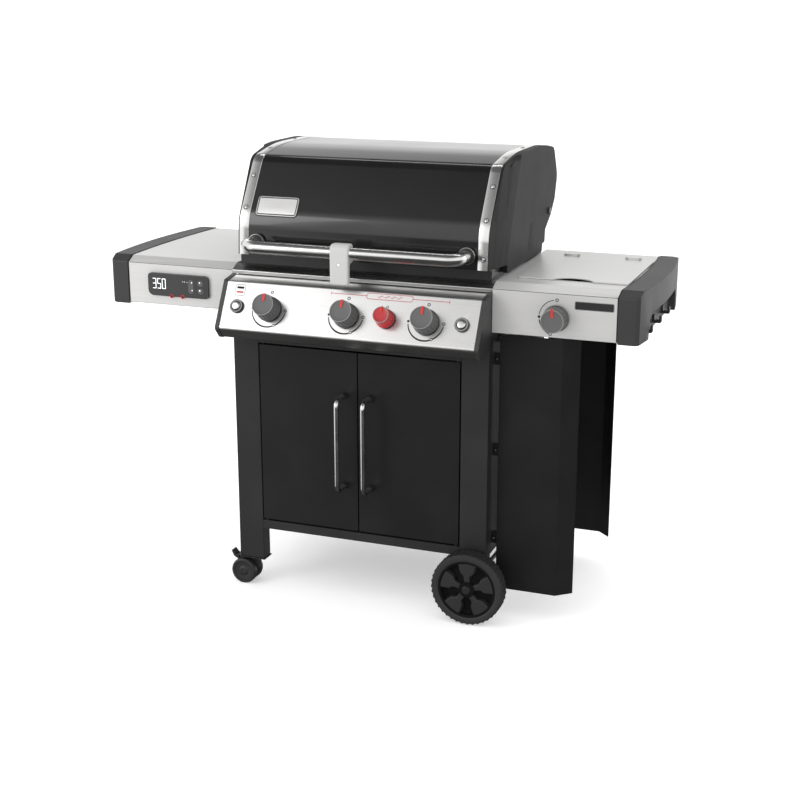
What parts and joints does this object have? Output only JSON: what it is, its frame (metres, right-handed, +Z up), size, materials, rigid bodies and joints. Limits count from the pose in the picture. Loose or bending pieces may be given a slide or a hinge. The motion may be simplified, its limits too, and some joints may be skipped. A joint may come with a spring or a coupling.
{
  "type": "gas barbecue grill",
  "caption": "Gas barbecue on a cabinet cart, with a hinged lid, side tables, side burner under a cover, control knobs, doors, wheels and casters.",
  "frame": {"origin": "on the floor, below the middle of the closed grill's outline", "axes": "+X to the right as the cook faces the grill, +Y to the back, +Z up"},
  "size_m": [1.482, 0.7142, 1.1901],
  "materials": {
    "enamel": "gloss",
    "frame_paint": "satin",
    "cast_end": "satin",
    "stainless": "brushed",
    "chrome": "polished",
    "dark_plastic": "matte",
    "knob_grey": "satin",
    "knob_red": "satin",
    "light_grey": "satin",
    "cast_iron": "matte",
    "brass": "satin",
    "aluminium": "satin",
    "wheel_plastic": "matte",
    "steel": "satin"
  },
  "bodies": {
    "cart": {"legs": "frame_paint", "bottom_panel": "frame_paint", "cabinet_walls": "frame_paint", "frame_rails": "frame_paint", "tank_shields": "frame_paint", "tank_hook": "steel", "axle": "steel", "caster_sockets": "dark_plastic", "cookbox": "enamel", "hinge_arms": "cast_end", "burner_tubes": "stainless", "flame_tamers": "stainless", "cooking_grates": "cast_iron", "warming_rack": "chrome", "gas_manifold": "aluminium", "gas_valves": "brass", "control_panel": "stainless", "panel_end_caps": "dark_plastic", "top_trim": "stainless", "control_bezels": "dark_plastic", "table_left": "stainless", "table_right": "stainless", "table_brackets": "frame_paint", "table_end_caps": "dark_plastic", "tool_hooks": "dark_plastic", "display_module": "dark_plastic", "display_keypad": "dark_plastic", "side_burner_bowl": "steel", "side_burner": "aluminium", "side_burner_grate": "cast_iron", "cover_hinges": "steel"},
    "lid": {"lid_shell": "enamel", "lid_ends": "cast_end", "lid_trims": "stainless", "lid_rivets": "chrome", "lid_handle": "chrome", "handle_ferrules": "dark_plastic", "handle_light": "light_grey", "lid_badge": "stainless"},
    "door_left": {"door_left": "frame_paint", "door_handle_left": "chrome"},
    "door_right": {"door_right": "frame_paint", "door_handle_right": "chrome"},
    "knob_left": {"knob_left": "knob_grey"},
    "knob_middle": {"knob_middle": "knob_grey"},
    "knob_right": {"knob_right": "knob_grey"},
    "knob_sear": {"knob_sear": "knob_red"},
    "knob_side": {"knob_side": "knob_grey"},
    "button_left": {"button_left": "chrome"},
    "button_right": {"button_right": "chrome"},
    "side_burner_lid": {"side_burner_lid": "stainless"},
    "wheel_front": {"wheel_front": "wheel_plastic"},
    "wheel_rear": {"wheel_rear": "wheel_plastic"},
    "caster_fork_front": {"caster_fork_front": "dark_plastic"},
    "caster_fork_rear": {"caster_fork_rear": "dark_plastic"},
    "caster_wheels_front": {"caster_wheels_front": "wheel_plastic"},
    "caster_wheels_rear": {"caster_wheels_rear": "wheel_plastic"},
    "caster_lever_front": {"caster_lever_front": "dark_plastic"},
    "caster_lever_rear": {"caster_lever_rear": "dark_plastic"},
    "grease_tray": {"grease_tray": "aluminium"}
  },
  "joints": [
    {"name": "lid_hinge", "type": "hinge", "parent": "cart", "child": "lid", "pos_m": [0, 0.27859, 1.003], "axis": [-1, 0, 0], "range_deg": [0, 85]},
    {"name": "door_left_hinge", "type": "hinge", "parent": "cart", "child": "door_left", "pos_m": [-0.2707, -0.22741, 0.44], "axis": [0, 0, -1], "range_deg": [0, 110]},
    {"name": "door_right_hinge", "type": "hinge", "parent": "cart", "child": "door_right", "pos_m": [0.2707, -0.22741, 0.44], "axis": [0, 0, 1], "range_deg": [0, 110]},
    {"name": "knob_left_turn", "type": "hinge", "parent": "cart", "child": "knob_left", "pos_m": [-0.213, -0.31991, 0.8099], "axis": [0, -0.8788, 0.4772], "range_deg": [0, 235]},
    {"name": "knob_middle_turn", "type": "hinge", "parent": "cart", "child": "knob_middle", "pos_m": [0, -0.31991, 0.8099], "axis": [0, -0.8788, 0.4772], "range_deg": [0, 235]},
    {"name": "knob_right_turn", "type": "hinge", "parent": "cart", "child": "knob_right", "pos_m": [0.213, -0.31991, 0.8099], "axis": [0, -0.8788, 0.4772], "range_deg": [0, 235]},
    {"name": "knob_sear_turn", "type": "hinge", "parent": "cart", "child": "knob_sear", "pos_m": [0.106, -0.31991, 0.8099], "axis": [0, -0.8788, 0.4772], "range_deg": [0, 90]},
    {"name": "knob_side_turn", "type": "hinge", "parent": "cart", "child": "knob_side", "pos_m": [0.52, -0.24341, 0.82], "axis": [0, -1, 0], "range_deg": [0, 165]},
    {"name": "button_left_press", "type": "slide", "parent": "cart", "child": "button_left", "axis": [0, 0.8788, -0.4772], "range_m": [0, 0.003], "stiffness_N_per_m": 300, "springref_m": -0.002},
    {"name": "button_right_press", "type": "slide", "parent": "cart", "child": "button_right", "axis": [0, 0.8788, -0.4772], "range_m": [0, 0.003], "stiffness_N_per_m": 300, "springref_m": -0.002},
    {"name": "side_burner_lid_hinge", "type": "hinge", "parent": "cart", "child": "side_burner_lid", "pos_m": [0.536, 0.19059, 0.8991], "axis": [-1, 0, 0], "range_deg": [0, 95]},
    {"name": "wheel_front_roll", "type": "hinge", "parent": "cart", "child": "wheel_front", "pos_m": [0.31825, -0.26141, 0.098], "axis": [0, 1, 0], "continuous": true},
    {"name": "wheel_rear_roll", "type": "hinge", "parent": "cart", "child": "wheel_rear", "pos_m": [0.31825, 0.32459, 0.098], "axis": [0, 1, 0], "continuous": true},
    {"name": "caster_front_swivel", "type": "hinge", "parent": "cart", "child": "caster_fork_front", "pos_m": [-0.31825, -0.21341, 0.08], "axis": [0, 0, 1], "continuous": true},
    {"name": "caster_front_roll", "type": "hinge", "parent": "caster_fork_front", "child": "caster_wheels_front", "pos_m": [-0.34425, -0.21341, 0.036], "axis": [0, 1, 0], "continuous": true},
    {"name": "caster_front_lock", "type": "hinge", "parent": "caster_fork_front", "child": "caster_lever_front", "pos_m": [-0.36825, -0.21341, 0.07], "axis": [0, -1, 0], "range_deg": [0, 15]},
    {"name": "caster_rear_swivel", "type": "hinge", "parent": "cart", "child": "caster_fork_rear", "pos_m": [-0.31825, 0.27659, 0.08], "axis": [0, 0, 1], "continuous": true},
    {"name": "caster_rear_roll", "type": "hinge", "parent": "caster_fork_rear", "child": "caster_wheels_rear", "pos_m": [-0.34425, 0.27659, 0.036], "axis": [0, 1, 0], "continuous": true},
    {"name": "caster_rear_lock", "type": "hinge", "parent": "caster_fork_rear", "child": "caster_lever_rear", "pos_m": [-0.36825, 0.27659, 0.07], "axis": [0, -1, 0], "range_deg": [0, 15]},
    {"name": "grease_tray_slide", "type": "slide", "parent": "cart", "child": "grease_tray", "axis": [0, 1, 0], "range_m": [0, 0.38]}
  ]
}
